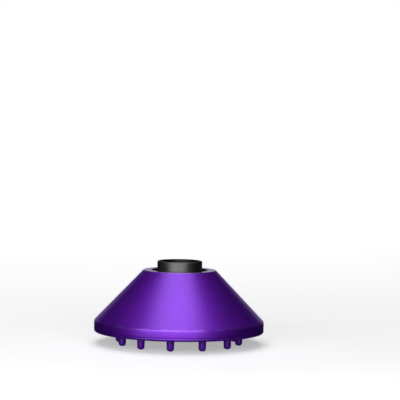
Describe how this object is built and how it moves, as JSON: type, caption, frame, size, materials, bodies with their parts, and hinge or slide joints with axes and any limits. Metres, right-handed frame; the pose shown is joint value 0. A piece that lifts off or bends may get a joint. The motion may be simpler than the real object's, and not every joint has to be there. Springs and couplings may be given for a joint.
{
  "type": "hair dryer diffuser",
  "caption": "Cone-shaped hair-dryer diffuser with a hollow neck in a ring-shaped inlet, and round prongs under its wide end that lift hair while the air spreads.",
  "frame": {"origin": "on the axis, in the plane that the outer prongs' tips rest on", "axes": "+Z along the axis, from the prongs' tips towards the neck; -Y through the first outer prong"},
  "size_m": [0.137, 0.137, 0.0673],
  "materials": {
    "shell_purple": "satin pearl purple",
    "lip_purple": "fine satin purple",
    "prong_purple": "satin purple, smooth tips",
    "neck_black": "satin black",
    "inner_black": "fine grained black",
    "plate_black": "satin black",
    "seal_rubber": "matt black",
    "screen_steel": "darkened steel",
    "keeper_steel": "pressed steel",
    "screw_steel": "zinc-plated",
    "magnet_nickel": "nickel-plated"
  },
  "bodies": {
    "root": {"centre_cap": "prong_purple", "centre_screw": "screw_steel", "flow_deflector": "inner_black", "front_ring": "lip_purple", "heat_shield": "inner_black", "inlet_screen": "screen_steel", "keeper_ring": "keeper_steel", "magnet_1": "magnet_nickel", "magnet_2": "magnet_nickel", "magnet_3": "magnet_nickel", "magnet_4": "magnet_nickel", "magnet_5": "magnet_nickel", "magnet_6": "magnet_nickel", "magnet_7": "magnet_nickel", "magnet_8": "magnet_nickel", "magnet_carrier": "inner_black", "neck": "neck_black", "neck_seal": "seal_rubber", "outer_shell": "shell_purple", "prong_inner_1": "prong_purple", "prong_inner_2": "prong_purple", "prong_inner_3": "prong_purple", "prong_inner_4": "prong_purple", "prong_inner_5": "prong_purple", "prong_inner_6": "prong_purple", "prong_outer_01": "prong_purple", "prong_outer_02": "prong_purple", "prong_outer_03": "prong_purple", "prong_outer_04": "prong_purple", "prong_outer_05": "prong_purple", "prong_outer_06": "prong_purple", "prong_outer_07": "prong_purple", "prong_outer_08": "prong_purple", "prong_outer_09": "prong_purple", "prong_outer_10": "prong_purple", "prong_outer_11": "prong_purple", "prong_outer_12": "prong_purple", "prong_plate": "plate_black", "screen_clip": "inner_black", "vane_ring": "inner_black", "vane_screw_1": "screw_steel", "vane_screw_2": "screw_steel", "vane_screw_3": "screw_steel", "vane_screw_4": "screw_steel"}
  },
  "joints": []
}
